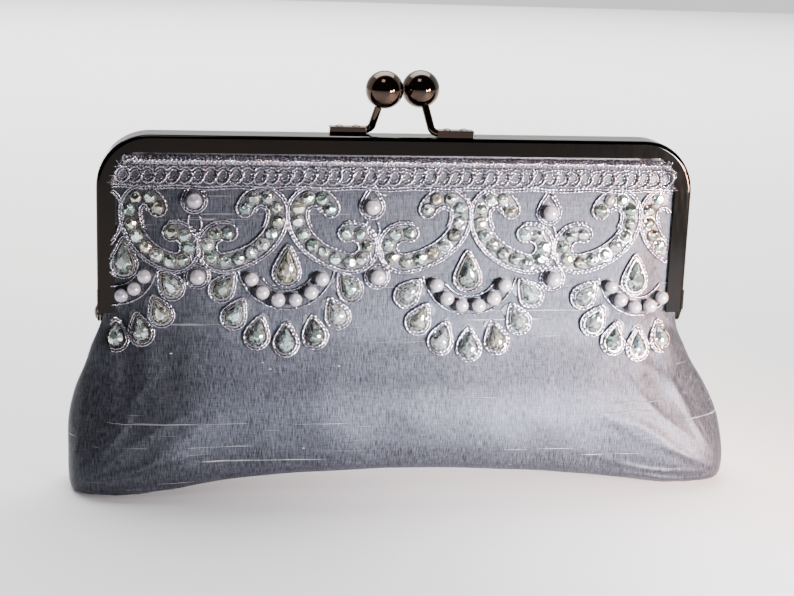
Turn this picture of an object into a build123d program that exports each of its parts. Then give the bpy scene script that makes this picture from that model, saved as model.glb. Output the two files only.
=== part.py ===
"""Kiss-lock evening clutch: a two-part hinged metal frame, a soft silk pouch and a jewelled trim.

Units are millimetres.  X runs along the bag, -Y is the front, +Z is up.
The origin is on the resting surface, under the middle of the bag.
"""
from build123d import *
from math import asin, cos, exp, hypot, pi, radians, sin
import os

os.makedirs("parts", exist_ok=True)

# ---------------------------------------------------------------- driving dimensions
FRAME_WIDTH = 205.0        # nominal 20.5 cm purse frame
FRAME_TOP = 122.0          # height of the closed frame's top face
HINGE_Z = 60.0             # height of the two hinge rivets
CORNER_RADIUS = 18.0       # outer corner of the frame
RAIL_HEIGHT = 6.2          # flange height seen from the front
METAL = 0.8                # sheet thickness of the frame
HALF_DEPTH = 6.0           # each frame half reaches this far from the closing plane
CLOSING_GAP = 0.15         # each half stops this short of the closing plane
EDGE_ROUND = 1.4           # rolled outer edge of the frame
BALL_RADIUS = 6.45         # clasp balls
BALL_PASS_GAP = 0.1        # side gap between the balls as they pass
BALL_HEIGHT = 15.6         # ball centre above the frame
BALL_CROSSING = 2.2        # each ball stands this far past the closing plane
POUCH_TOP = HINGE_Z - 4.5  # rigid stand-in of the lower pouch stops here
PANEL_LOW = HINGE_Z + 5.0  # rigid stand-in of the upper panels starts here
ARCH_HEIGHT = 7.0          # the base is arched up between its two corners
ARCH_HALF_SPAN = 92.0
REPEATS = (-94.0, -39.0, 24.0, 84.0)    # centres of the trim's repeats, set by hand a little unevenly
UPPER_PEARLS = ((-70.2, 100.2), (-10.2, 98.5), (51.3, 97.0))  # single pearls between them
LOWER_PEARLS = ((-69.1, 74.6), (-8.0, 74.6), (53.4, 74.0))
HALF_REPEAT = 30.0         # a repeat is drawn this wide each side, then fitted between its neighbours
TRIM_LEFT = -98.5          # the trim strip is cut here ...
TRIM_RIGHT = 96.5         # ... and here

# layers of the soft pouch: name, how far its outer face lies inside the bag's surface, thickness
LAYERS = (("outer", 0.0, 0.6), ("fleece", 0.75, 1.2), ("lining", 2.1, 0.4))
# horizontal sections of the lower pouch: height, half width, half depth
SECTIONS = (
    (0.0, 112.0, 14.5),
    (3.5, 115.0, 18.6),
    (11.0, 115.8, 20.5),
    (23.0, 115.0, 20.3),
    (34.0, 112.6, 18.0),
    (43.0, 108.2, 14.8),
    (50.0, 105.2, 12.2),
    (POUCH_TOP, 103.2, 10.2),
)

FRONT = -1
REAR = 1


def save(name, *solids):
    """Writes one node, as one solid or as a group of separate solids."""
    flat = [s for shape in solids for s in shape.solids()]
    export_step(flat[0] if len(flat) == 1 else Compound(flat), f"parts/{name}.step")


# ---------------------------------------------------------------- the frame
def rail_outline(inset, low):
    """Upside-down U region of the frame, shrunk by inset and cut off level at low, in the XZ plane."""
    half, top, radius = FRAME_WIDTH / 2 - inset, FRAME_TOP - inset, CORNER_RADIUS - inset
    turn = radius * (1 - cos(pi / 4))
    left_up = Line((-half, low), (-half, top - radius))
    left_turn = ThreePointArc((-half, top - radius), (-half + turn, top - turn), (-half + radius, top))
    across = Line((-half + radius, top), (half - radius, top))
    right_turn = ThreePointArc((half - radius, top), (half - turn, top - turn), (half, top - radius))
    right_down = Line((half, top - radius), (half, low))
    base = Line((half, low), (-half, low))
    return make_face([left_up, left_turn, across, right_turn, right_down, base])


def slab(face, y_from, y_to):
    """Stands a sketch up in the XZ plane and gives it the stretch y_from to y_to."""
    return extrude(Plane.XZ.offset(-y_from) * face, amount=-(y_to - y_from))


def block(x_range, y_range, z_range):
    """Box between three pairs of limits."""
    size = [high - low for low, high in (x_range, y_range, z_range)]
    middle = [(low + high) / 2 for low, high in (x_range, y_range, z_range)]
    return Pos(*middle) * Box(*size)


EAR_RADIUS = 3.2
RIVET_RADIUS = 1.1
RIVET_PLAY = 0.05
EAR_PLAY = 0.1
LEG_END = HINGE_Z + 1.0
INNER_FLANGE_END = HINGE_Z + 5.0
EAR_REACH = HINGE_Z + 9.0
CLASP_Y = (HALF_DEPTH + CLOSING_GAP) / 2      # middle of one half's top face
FOOT_START = 11.8
FOOT_LENGTH = 12.6
FOOT_THICK = 2.4
FOOT_WIDTH = 4.4
FOOT_RIVETS = (FOOT_START + 3.4, FOOT_START + 9.2)
FOOT_RIVET_RADIUS = 0.9
RIVET_FIT = 0.03


def ear(side, end, x_inner, x_outer):
    """Hinge ear: a flat plate round the rivet that runs up into the web of one half."""
    disc = Pos(0, HINGE_Z) * Circle(EAR_RADIUS)
    strap = Pos(end * CLASP_Y, (HINGE_Z + EAR_REACH) / 2) * Rectangle(
        HALF_DEPTH - CLOSING_GAP, EAR_REACH - HINGE_Z
    )
    notch = Pos(end * HALF_DEPTH, HINGE_Z) * Rectangle(5.0, 4.0)
    plate = extrude(Plane.YZ * (disc + strap - notch), amount=x_outer - x_inner)
    start = x_inner if side > 0 else -x_outer
    return Pos(start, 0, 0) * plate


def frame_half(end):
    """One U-channel half with its two hinge ears.  The front half's ears are outside the rear's."""
    near, far = sorted((end * CLOSING_GAP, end * HALF_DEPTH))
    body = slab(rail_outline(0, LEG_END) - rail_outline(RAIL_HEIGHT, LEG_END - 1), near, far)
    face_y = end * HALF_DEPTH
    outer_edges = body.edges().filter_by(
        lambda e: abs(e.center().Y - face_y) < 1e-3
        and abs(e.bounding_box().min.Y - face_y) < 1e-3
        and abs(e.bounding_box().max.Y - face_y) < 1e-3
        and e.center().Z > LEG_END + 0.5
        and on_outer_edge(e.center())
    )
    body = fillet(outer_edges, EDGE_ROUND)
    groove = slab(rail_outline(METAL, LEG_END - 1), near + METAL, far - METAL)
    body -= groove
    half = FRAME_WIDTH / 2
    inner = sorted((end * (CLOSING_GAP - 0.05), end * (CLOSING_GAP + METAL + 0.05)))
    body -= block((-half, half), inner, (LEG_END - 1, INNER_FLANGE_END))
    for side in (-1, 1):
        web = sorted((side * (half - METAL), side * (half + 1)))
        if end == FRONT:
            body += ear(side, end, half - METAL, half)
        else:
            body -= block(web, (0, HALF_DEPTH + 1), (LEG_END - 1, HINGE_Z + EAR_RADIUS + 0.6))
            body += ear(side, end, half - 2 * METAL - EAR_PLAY, half - METAL - EAR_PLAY)
            joggle = sorted((side * (half - METAL - EAR_PLAY - 0.2), side * (half - METAL)))
            body += block(joggle, (CLOSING_GAP, HALF_DEPTH - METAL), (HINGE_Z + 5, EAR_REACH))
    body -= Pos(0, 0, HINGE_Z) * Rot(0, 90, 0) * Cylinder(RIVET_RADIUS + RIVET_PLAY, FRAME_WIDTH + 10)
    for x in FOOT_RIVETS:
        hole = Cylinder(FOOT_RIVET_RADIUS + RIVET_FIT, 4 * METAL)
        body -= Pos(-end * x, end * CLASP_Y, FRAME_TOP) * hole
    return body


def on_outer_edge(point):
    """True for a point on the outside perimeter of the frame rather than on the flange's inner edge."""
    reach = FRAME_WIDTH / 2 - RAIL_HEIGHT / 2
    corner_x = FRAME_WIDTH / 2 - CORNER_RADIUS
    corner_z = FRAME_TOP - CORNER_RADIUS
    if abs(point.X) > corner_x and point.Z > corner_z:
        return hypot(abs(point.X) - corner_x, point.Z - corner_z) > CORNER_RADIUS - RAIL_HEIGHT / 2
    return abs(point.X) > reach or point.Z > FRAME_TOP - RAIL_HEIGHT / 2


def turned_rivet(corners, head_radius, rise):
    """Rivet turned about the Y axis, from its flat end up to a domed head of this radius and rise."""
    level = corners[-1][1]
    ball = (head_radius**2 + rise**2) / (2 * rise)
    half_angle = asin(head_radius / ball) / 2
    crown = level + rise
    middle = (ball * sin(half_angle), crown - ball * (1 - cos(half_angle)))
    dome = ThreePointArc(corners[-1], middle, (0, crown))
    return revolve(make_face([Polyline(*corners), dome, Line((0, crown), corners[0])]), axis=Axis.Y)


def hinge_rivet(side):
    """Rivet through both ears: domed outside head, shank and flat inside head."""
    half = FRAME_WIDTH / 2
    ears_in = half - 2 * METAL - EAR_PLAY
    corners = [
        (0, ears_in - 1.1), (2.0, ears_in - 1.1), (2.0, ears_in - 0.1), (RIVET_RADIUS, ears_in - 0.1),
        (RIVET_RADIUS, half + 0.1), (2.5, half + 0.1), (2.5, half + 0.35),
    ]
    return Pos(0, 0, HINGE_Z) * Rot(0, 0, -90 * side) * turned_rivet(corners, 2.5, 0.85)


# ---------------------------------------------------------------- the kiss-lock clasp
POST_RADIUS = 1.3
POST_LEVEL = FRAME_TOP + 1.4    # height of the post's root above the resting surface
POST_BEND_X = 10.2
POST_SHARE = 0.78               # the post ends this far along its way to the ball's centre


def clasp_post(end):
    """Bent post up from the foot into the ball, leaning inwards and across the closing plane."""
    ball = (BALL_RADIUS + BALL_PASS_GAP / 2, -BALL_CROSSING, FRAME_TOP + BALL_HEIGHT)
    bend = (POST_BEND_X, CLASP_Y, POST_LEVEL)
    tip = tuple(b + POST_SHARE * (t - b) for b, t in zip(bend, ball))
    corners = [(FOOT_START + 2.0, CLASP_Y, POST_LEVEL), bend, tip]
    placed = [(-end * x, end * y, z) for x, y, z in corners]
    path = FilletPolyline(*placed, radius=2.4)
    return sweep(Plane(origin=path @ 0, z_dir=path % 0) * Circle(POST_RADIUS), path=path)


def clasp_ball(end, post):
    """Ball with the socket that its post is set in."""
    where = Pos(-end * (BALL_RADIUS + BALL_PASS_GAP / 2), -end * BALL_CROSSING, FRAME_TOP + BALL_HEIGHT)
    return where * Sphere(BALL_RADIUS) - post


def clasp_arm(end, post):
    """Clasp arm: its post in one piece with the flat foot that is riveted to the top of one half."""
    x_range = sorted((-end * FOOT_START, -end * (FOOT_START + FOOT_LENGTH)))
    y_range = sorted((end * (CLASP_Y - FOOT_WIDTH / 2), end * (CLASP_Y + FOOT_WIDTH / 2)))
    foot = block(x_range, y_range, (FRAME_TOP, FRAME_TOP + FOOT_THICK))
    foot = fillet(foot.edges().filter_by(Axis.Z) + foot.edges().group_by(Axis.Z)[-1], 0.35)
    foot += post
    for x in FOOT_RIVETS:
        hole = Cylinder(FOOT_RIVET_RADIUS + RIVET_FIT, 3 * FOOT_THICK)
        foot -= Pos(-end * x, end * CLASP_Y, FRAME_TOP + FOOT_THICK) * hole
    return foot


def foot_rivet(x, y):
    """Small rivet through a foot and the frame's web, headed at both ends."""
    low = FRAME_TOP - METAL
    high = FRAME_TOP + FOOT_THICK
    corners = [
        (0, low - 0.6), (1.35, low - 0.6), (1.35, low - 0.02), (FOOT_RIVET_RADIUS, low - 0.02),
        (FOOT_RIVET_RADIUS, high + 0.02), (1.4, high + 0.02), (1.4, high + 0.15),
    ]
    return Pos(x, y, 0) * Rot(90, 0, 0) * turned_rivet(corners, 1.4, 0.45)


# ---------------------------------------------------------------- the soft pouch
CHANNEL_DEPTH = 4.9        # depth of the silk's outer face where it sits in the channel
BULGE_AT_TOP = 1.6         # how far the panel swells clear of the channel, by the top rail ...
BULGE_AT_HINGE = 5.0       # ... and at hinge height
SWELL_LENGTH = 9.0         # distance from the flange over which it swells
SHEET_INSET = 2.2          # the sheets reach this near to the frame's outer face
SURFACE_STEPS = (40, 22)


def surface_depth(x, z):
    """Distance of the upper panel's outer face from the closing plane."""
    low_share = min(1.2, max(0.0, (FRAME_TOP - RAIL_HEIGHT - z) / (FRAME_TOP - RAIL_HEIGHT - HINGE_Z)))
    bulge = BULGE_AT_TOP + (BULGE_AT_HINGE - BULGE_AT_TOP) * low_share
    side = max(0.0, FRAME_WIDTH / 2 - RAIL_HEIGHT - abs(x))
    top = max(0.0, FRAME_TOP - RAIL_HEIGHT - z)
    near = 1 - exp(-((side / SWELL_LENGTH) ** 2))
    return CHANNEL_DEPTH + bulge * near * (1 - exp(-((top / SWELL_LENGTH) ** 2)))


def sheet(end, inset, thick, z_low, z_high, half_width, outline=None):
    """Curved sheet of constant thickness along Y, between two heights."""
    columns, rows = SURFACE_STEPS
    points = []
    for i in range(columns + 1):
        x = half_width * (2 * i / columns - 1)
        heights = [z_low + (z_high - z_low) * k / rows for k in range(rows + 1)]
        points.append([Vector(x, end * (surface_depth(x, z) - inset), z) for z in heights])
    face = Face.make_surface_from_array_of_points(points, tol=0.01, max_deg=5)
    body = Solid.extrude(face, Vector(0, -end * thick, 0))
    return body if outline is None else body & outline


def upper_panel(end, inset, thick, edge):
    """Layer of the upper panel: held in the channel where edge is small, or stopping short of it."""
    outline = slab(rail_outline(edge, PANEL_LOW), -HALF_DEPTH * 3, HALF_DEPTH * 3)
    return sheet(end, inset, thick, PANEL_LOW, FRAME_TOP - 1, FRAME_WIDTH / 2 - 1, outline)


def pouch_body(shrink):
    """Solid filling the lower pouch, with its surface moved in by shrink all round and at the base."""
    faces = []
    for z, half_width, half_depth in SECTIONS:
        level = min(z + shrink, POUCH_TOP + 1) if z < SECTIONS[-1][0] else POUCH_TOP + shrink * 0.01
        outline = SlotOverall(2 * (half_width - shrink), 2 * (half_depth - shrink))
        faces.append(Pos(0, 0, level) * outline)
    return loft(faces) - arch(shrink)


def arch(rise):
    """Long low arch that lifts the middle of the base clear of the ground."""
    start, crown, end = (-ARCH_HALF_SPAN, rise), (0, ARCH_HEIGHT + rise), (ARCH_HALF_SPAN, rise)
    curve = ThreePointArc(start, crown, end)
    return slab(make_face([curve, Line(end, start)]), -40, 40)


def lower_layer(inset, thick):
    """Front and rear panel of one layer of the lower pouch, meeting at the seam."""
    shell = pouch_body(inset) - pouch_body(inset + thick)
    halves = []
    for end in (FRONT, REAR):
        y_range = sorted((0.0, end * 40.0))
        halves.append(shell & block((-150, 150), y_range, (-5, POUCH_TOP - 0.01)))
    return halves


def fold_band(end):
    """Strip of the silk panel that bends when the frame opens."""
    return sheet(end, 0, LAYERS[0][2], POUCH_TOP + 0.1, PANEL_LOW - 0.1, FRAME_WIDTH / 2 - RAIL_HEIGHT - 2)


def paper_cord(end):
    """Twisted paper cord that wedges the cloth in the channel."""
    radius = 0.62
    inset = 2.65
    half, top, turn = FRAME_WIDTH / 2 - inset, FRAME_TOP - inset, CORNER_RADIUS - inset
    low = HINGE_Z + 10
    y = end * (CLOSING_GAP + METAL + radius + 0.08)
    corners = [(-half, y, low), (-half, y, top), (half, y, top), (half, y, low)]
    path = FilletPolyline(*corners, radius=turn)
    return sweep(Plane(origin=path @ 0, z_dir=path % 0) * Circle(radius), path=path)


# ---------------------------------------------------------------- the jewelled trim
CORD = 0.9                 # height of the raised cords
STONE_RADIUS = 2.1
STONE_PITCH = 4.9
PEARL_RADIUS = 2.6
LONE_PEARL_RADIUS = 2.9
FAN_PEARL_ARC = (76.9, 13.3, 25.5)      # centre height, radius, step in degrees
FAN_DROP_ARC = (70.9, 22.3, 26.5)
FAN_SHIFTS = ((-2.4, 3.9, 0.86), (0.0, 3.2, 1.0), (0.3, 1.2, 1.0), (1.4, 0.6, 0.94))
TEARDROP_SHIFTS = ((0.3, 2.6), (0.0, 0.6), (-0.5, -1.2), (-0.8, -2.4))
TEARDROP_Z = 75.4
TEARDROP_SIZE = (4.8, 9.4)              # width and length of the crystal
DROP_SIZE = (5.4, 8.4)
DROP_REACH = 1.2                        # a drop is kept whole if its middle is this far inside the cut
UPPER_CURL = (8.8, 95.8, 5.5)           # centre across, centre height, radius
LOWER_CURL = (21.4, 84.2, 5.2)
BRAID = (112.0, 115.2)                  # heights of the braided heading
RING_Z = 109.0
RING_PITCH = 4.1
TRIM_LIFT = 0.12                        # clearance between the trim and the silk
LOFT_SWELL = 0.25                       # the pouch swells this much between its sections


def bag_depth(x, z):
    """Distance of the bag's front from the closing plane, on the panel or on the lower pouch."""
    if z >= PANEL_LOW:
        return surface_depth(x, z)
    lower = [(h, d) for h, _, d in SECTIONS if h > 40.0] + [(PANEL_LOW, surface_depth(0, PANEL_LOW))]
    for (low, low_depth), (high, high_depth) in zip(lower, lower[1:]):
        if z <= high:
            return low_depth + (high_depth - low_depth) * (z - low) / (high - low) + LOFT_SWELL
    return lower[-1][1]


def clear_depth(x, z, reach):
    """Least depth at which a flat piece of this reach clears the silk and the frame."""
    around = [(x + reach * cos(a), z + reach * sin(a)) for a in (k * pi / 4 for k in range(8))]
    deepest = max(bag_depth(px, pz) for px, pz in around + [(x, z)])
    return max(deepest, HALF_DEPTH) + TRIM_LIFT


def inside(x, reach):
    """True where a piece of this reach lies within the cut strip."""
    return TRIM_LEFT <= x - reach and x + reach <= TRIM_RIGHT


def scroll_path():
    """S-shaped scroll on the right of a repeat's centre: upper curl, body, lower curl."""
    (ux, uz, ur), (lx, lz, lr) = UPPER_CURL, LOWER_CURL
    upper = [(ux + ur * cos(a), uz + ur * sin(a)) for a in (radians(d) for d in range(15, 181, 5))]
    lower = [(lx + lr * cos(a), lz + lr * sin(a)) for a in (radians(d) for d in range(-100, 111, 5))]
    start, finish = upper[-1], lower[0]
    pull_a, pull_b = (start[0], start[1] - 8.8), (finish[0] - 8.9, finish[1] + 1.6)
    body = []
    for k in range(1, 24):
        t = k / 24
        weights = ((1 - t) ** 3, 3 * t * (1 - t) ** 2, 3 * t * t * (1 - t), t**3)
        ends = (start, pull_a, pull_b, finish)
        body.append(tuple(sum(w * p[i] for w, p in zip(weights, ends)) for i in (0, 1)))
    return upper + body + lower


def spaced(path, pitch):
    """Points along a path at even steps of about pitch."""
    lengths = [hypot(b[0] - a[0], b[1] - a[1]) for a, b in zip(path, path[1:])]
    count = round(sum(lengths) / pitch)
    step = sum(lengths) / count
    found, walked, target = [path[0]], 0.0, step
    for a, b, length in zip(path, path[1:], lengths):
        while len(found) < count and walked + length >= target:
            t = (target - walked) / length
            found.append((a[0] + t * (b[0] - a[0]), a[1] + t * (b[1] - a[1])))
            target += step
        walked += length
    return found + [path[-1]]


def scroll_stones():
    """Centres of the round stones, as one list per scroll."""
    scrolls = []
    for centre in REPEATS:
        for side in (-1, 1):
            reach = fitted_reach(centre, side)
            path = [(centre + side * u * reach / HALF_REPEAT, z) for u, z in scroll_path()]
            scrolls.append([p for p in spaced(path, STONE_PITCH) if inside(p[0], STONE_RADIUS)])
    return [s for s in scrolls if s]


def fitted_reach(centre, side):
    """Distance from a repeat's centre to the single pearls on this side, or half a repeat at the ends."""
    beyond = [side * (x - centre) for x, _ in LOWER_PEARLS if side * (x - centre) > 0]
    return min(beyond) if beyond else HALF_REPEAT


def fan(arc, count):
    """Places on an arc hanging below a repeat's centre: across, height and lean in degrees."""
    height, radius, step = arc
    places = []
    for centre, (across, up, spread) in zip(REPEATS, FAN_SHIFTS):
        for k in range(count):
            lean = (k - (count - 1) / 2) * step
            x = centre + across + spread * radius * sin(radians(lean))
            places.append((x, height + up - radius * cos(radians(lean)), lean))
    return places


def teardrop(width, length):
    """Drop outline with its point up, centred on its round end's middle."""
    radius = width / 2
    tip = length - radius
    rise = radius * radius / tip
    spread = (radius * radius - rise * rise) ** 0.5
    flanks = Polyline((spread, rise), (0, tip), (-spread, rise))
    belly = ThreePointArc((-spread, rise), (0, -radius), (spread, rise))
    return make_face([flanks, belly])


def stand(face, depth, thick):
    """Flat trim piece on the front: its back at this depth, its face towards -Y."""
    return slab(face, -depth - thick, -depth)


def round_stone(x, z):
    """Round faceted stone: girdle, bevel and table."""
    base = clear_depth(x, z, STONE_RADIUS) + CORD * 0.5
    profile = Polyline((0, 0), (STONE_RADIUS, 0), (STONE_RADIUS, 0.5), (1.15, 1.5), (0, 1.5), (0, 0))
    return Pos(x, -base, z) * revolve(make_face(profile), axis=Axis.Y).mirror(Plane.XZ)


def pearl(x, z, radius):
    """Pearl sewn through its middle."""
    return Pos(x, -clear_depth(x, z, radius * 0.6) - radius, z) * Sphere(radius)


def drop_stone(x, z, lean, width, length, height):
    """Drop-shaped crystal on its cup."""
    depth = clear_depth(x, z, length * 0.6) + 0.9
    return stand(Pos(x, z) * Rot(0, 0, lean) * teardrop(width, length), depth, height)


def drop_cup(x, z, lean, width, length):
    """Metal cup behind a drop-shaped crystal."""
    depth = clear_depth(x, z, length * 0.6)
    return stand(Pos(x, z) * Rot(0, 0, lean) * teardrop(width, length), depth, 0.85)


def drop_rim(x, z, lean, width, length, cord):
    """Cord laid round a drop-shaped crystal."""
    ring = teardrop(width + 2 * cord, length + 2 * cord) - teardrop(width + 0.2, length + 0.2)
    depth = clear_depth(x, z, length * 0.6)
    return stand(Pos(x, z) * Rot(0, 0, lean) * ring, depth, CORD)


def scroll_cord(stones):
    """Cord outline round one scroll's stones."""
    outer = Sketch() + [Pos(x, z) * Circle(STONE_RADIUS + 0.9) for x, z in stones]
    inner = Sketch() + [Pos(x, z) * Circle(STONE_RADIUS + 0.18) for x, z in stones]
    depth = max(clear_depth(x, z, STONE_RADIUS + 0.9) for x, z in stones)
    return stand(outer - inner, depth, CORD)


def oval_ring(x, z):
    """One link of the ring braid."""
    ring = Ellipse(1.85, 2.75) - Ellipse(1.25, 2.1)
    return stand(Pos(x, z) * ring, clear_depth(x, z, 2.8), CORD)


def pearl_rim(x, z, radius):
    """Cord ring round a lone pearl."""
    ring = Circle(radius + 1.5) - Circle(radius + 0.5)
    return stand(Pos(x, z) * ring, clear_depth(x, z, radius + 1.5), CORD)


def braid_band():
    """Braided heading along the top of the strip."""
    low, high = BRAID
    left, right = TRIM_LEFT + 9, TRIM_RIGHT - 9
    depth = clear_depth(0, low, 1.0)
    return block((left, right), (-depth - CORD, -depth), (low, high))


def build_frame():
    for end, word in ((FRONT, "front"), (REAR, "rear")):
        save(f"{word}_frame", frame_half(end))
        post = clasp_post(end)
        save(f"{word}_clasp_arm", clasp_arm(end, post))
        save(f"{word}_clasp_ball", clasp_ball(end, post))
        save(f"{word}_clasp_rivets", *[foot_rivet(-end * x, end * CLASP_Y) for x in FOOT_RIVETS])
        save(f"{word}_paper_cord", paper_cord(end))
    save("hinge_rivet_left", hinge_rivet(-1))
    save("hinge_rivet_right", hinge_rivet(1))


def build_pouch():
    channel_edges = {"outer": SHEET_INSET, "fleece": RAIL_HEIGHT + 0.8, "lining": SHEET_INSET}
    for layer, inset, thick in LAYERS:
        lower = lower_layer(inset, thick)
        for end, word, panel in ((FRONT, "front", lower[0]), (REAR, "rear", lower[1])):
            save(f"{layer}_{word}_lower", panel)
            save(f"{layer}_{word}_upper", upper_panel(end, inset, thick, channel_edges[layer]))
    save("outer_front_fold", fold_band(FRONT))
    save("outer_rear_fold", fold_band(REAR))


def build_trim():
    save("trim_braid", braid_band())
    ring_count = int((TRIM_RIGHT - TRIM_LEFT - 12) / RING_PITCH)
    first = (TRIM_RIGHT + TRIM_LEFT - ring_count * RING_PITCH) / 2
    save("trim_rings", *[oval_ring(first + RING_PITCH * k, RING_Z) for k in range(ring_count + 1)])
    scrolls = scroll_stones()
    save("trim_scroll_stones", *[round_stone(x, z) for stones in scrolls for x, z in stones])
    save("trim_scroll_cords", *[scroll_cord(stones) for stones in scrolls])
    lone = UPPER_PEARLS + LOWER_PEARLS
    save("trim_lone_pearls", *[pearl(x, z, LONE_PEARL_RADIUS) for x, z in lone])
    save("trim_lone_pearl_cords", *[pearl_rim(x, z, LONE_PEARL_RADIUS) for x, z in lone])
    save("trim_fan_pearls", *[
        pearl(x, z, PEARL_RADIUS) for x, z, _ in fan(FAN_PEARL_ARC, 6) if inside(x, PEARL_RADIUS)
    ])
    shifted = zip(REPEATS, TEARDROP_SHIFTS)
    teardrops = [(x + across, TEARDROP_Z + up, 0.0) for x, (across, up) in shifted]
    save("trim_teardrops", *[drop_stone(*t, *TEARDROP_SIZE, 2.4) for t in teardrops])
    save("trim_teardrop_cups", *[drop_cup(*t, *TEARDROP_SIZE) for t in teardrops])
    save("trim_teardrop_cords", *[drop_rim(*t, *TEARDROP_SIZE, 1.2) for t in teardrops])
    drops = [(x, z, lean * 0.5) for x, z, lean in fan(FAN_DROP_ARC, 7) if inside(x, DROP_REACH)]
    save("trim_drops", *[drop_stone(*d, *DROP_SIZE, 2.2) for d in drops])
    save("trim_drop_cups", *[drop_cup(*d, *DROP_SIZE) for d in drops])
    save("trim_drop_cords", *[drop_rim(*d, *DROP_SIZE, 0.9) for d in drops])


build_frame()
build_pouch()
build_trim()
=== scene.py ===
from math import cos, pi, radians, sin, tau

import bpy
import numpy as np
from mathutils import Matrix, Vector, noise


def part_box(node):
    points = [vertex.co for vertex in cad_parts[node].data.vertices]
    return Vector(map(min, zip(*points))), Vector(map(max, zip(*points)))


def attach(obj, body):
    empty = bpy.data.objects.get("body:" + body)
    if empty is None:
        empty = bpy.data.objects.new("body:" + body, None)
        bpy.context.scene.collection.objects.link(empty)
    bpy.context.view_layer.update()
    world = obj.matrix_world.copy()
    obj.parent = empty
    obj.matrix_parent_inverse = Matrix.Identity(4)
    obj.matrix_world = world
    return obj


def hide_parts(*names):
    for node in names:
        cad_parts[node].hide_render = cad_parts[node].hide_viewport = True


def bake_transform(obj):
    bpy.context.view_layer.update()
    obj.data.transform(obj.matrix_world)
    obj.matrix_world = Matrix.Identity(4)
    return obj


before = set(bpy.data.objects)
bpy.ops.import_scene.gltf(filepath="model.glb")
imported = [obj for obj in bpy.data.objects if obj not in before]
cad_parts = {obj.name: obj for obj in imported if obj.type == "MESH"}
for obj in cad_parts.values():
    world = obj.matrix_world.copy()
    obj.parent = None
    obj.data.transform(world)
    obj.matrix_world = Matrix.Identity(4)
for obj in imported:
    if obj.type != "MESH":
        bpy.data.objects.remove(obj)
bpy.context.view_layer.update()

MM = 0.001
RNG = np.random.default_rng(7)

# ---------------- sizes, in millimetres
FRAME_LOW, FRAME_HIGH = (np.array(corner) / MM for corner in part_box("front_frame"))
HALF_WIDTH = FRAME_HIGH[0]  # half the frame's width
FRAME_TOP = FRAME_HIGH[2]
FACE_Y = -FRAME_LOW[1]  # the frame's face stands this far in front of the closing plane
HINGE_Z = 60.0
CORNER_RADIUS = 18.0
RAIL_HEIGHT = 6.2
CHANNEL_DEPTH = 4.9  # the silk's depth where the channel holds it
CHANNEL_INSET = 2.3  # the cloth reaches this near to the frame's outer edge
POUCH_LEAN = 4.2  # the slack pouch hangs this far to the right of the frame
SILK_THICK = 0.45

# heights between which the cloth changes from the flat panel to the rounded pouch
POUCH_Z = 47.0
PANEL_Z = 66.0

# the pouch's section, from above the hinge down to the middle of the base: height, half width, half depth
SECTIONS = (
    (75.0, 100.2, 9.2),
    (66.0, 100.4, 9.5),
    (58.0, 102.2, 10.2),
    (50.0, 104.6, 11.9),
    (42.0, 107.8, 14.4),
    (33.0, 112.6, 17.4),
    (23.0, 116.0, 19.5),
    (12.0, 116.9, 19.9),
    (5.0, 116.8, 18.8),
    (1.6, 116.2, 17.0),
    (0.35, 115.4, 14.8),
    (0.0, 114.8, 11.5),
    (0.0, 114.2, 6.0),
    (0.0, 114.0, 0.0),
)
END_SQUEEZE = 0.72  # the rounded ends' length, as a share of a quarter circle's
ARCH_HEIGHT = 7.0  # the base rises this far off the ground in the middle
ARCH_HALF_SPAN = 92.0
ARCH_TOP_Z = 55.0  # the arch fades out up to this height
BASE_SWING = 4.5  # the left lower corner stands this far forward
SWELL_AT_TOP = 1.6  # how far the silk swells out of the channel, just below the rail
SWELL_GAIN = 3.2  # how much more it swells at hinge height
SWELL_RUN = 9.0  # the swell builds up over this distance from the frame
CREASED_BELOW = (70.0, 84.0)  # heights over which the creases fade out
UNEVEN_BELOW = (84.0, 104.0)  # heights over which the unevenness fades out
LOOSE_DEPTH = 14.0  # cloth this far from the closing plane is free to crease
UPPER_ROW_SHARE = 0.42  # share of a panel's rows that lie above the section's top
TOP_GAP = 0.1  # the cloth's top edge lies this much lower than the channel inset alone puts it

# the trim, with x across the front and z up
REPEATS = (-94.0, -39.0, 24.0, 84.0)
UPPER_PEARLS = ((-70.2, 100.2), (-10.2, 98.5), (51.3, 97.0))
LOWER_PEARLS = ((-69.1, 74.6), (-8.0, 74.6), (53.4, 74.0))
HALF_REPEAT = 30.0  # half a repeat's width, as its scroll is drawn
TRIM_LEFT, TRIM_RIGHT = -98.3, 96.0  # where the strip is cut off
# how each repeat's arcs are moved across and up, and how wide they spread
FAN_SHIFTS = ((-2.4, 3.9, 0.86), (0.0, 3.2, 1.0), (0.3, 1.2, 1.0), (1.4, 0.6, 0.94))
TEARDROP_SHIFTS = ((0.3, 2.6), (0.0, 0.6), (-0.5, -1.2), (-0.8, -2.4))
# arcs below each repeat: centre height, radius, step in degrees
FAN_PEARL_ARC = (76.6, 13.3, 25.5)
FAN_DROP_ARC = (70.9, 22.3, 26.5)
FAN_GROUND_ARC = (72.0, 17.5, 26.5)
FAN_PEARLS = 6
FAN_DROPS = 7
ARC_CORDS = ((16.6, 80), (10.1, 58))  # cords along the fan's pearls: radius, half span in degrees
DROP_REACH = 1.2  # a drop is kept whole if its middle is this far inside the cut
TEARDROP_Z = 75.4
TEARDROP_SIZE = (7.0, 11.2)  # width and length
DROP_SIZE = (6.0, 8.4)
CRYSTAL_HEIGHT = 2.3
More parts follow.
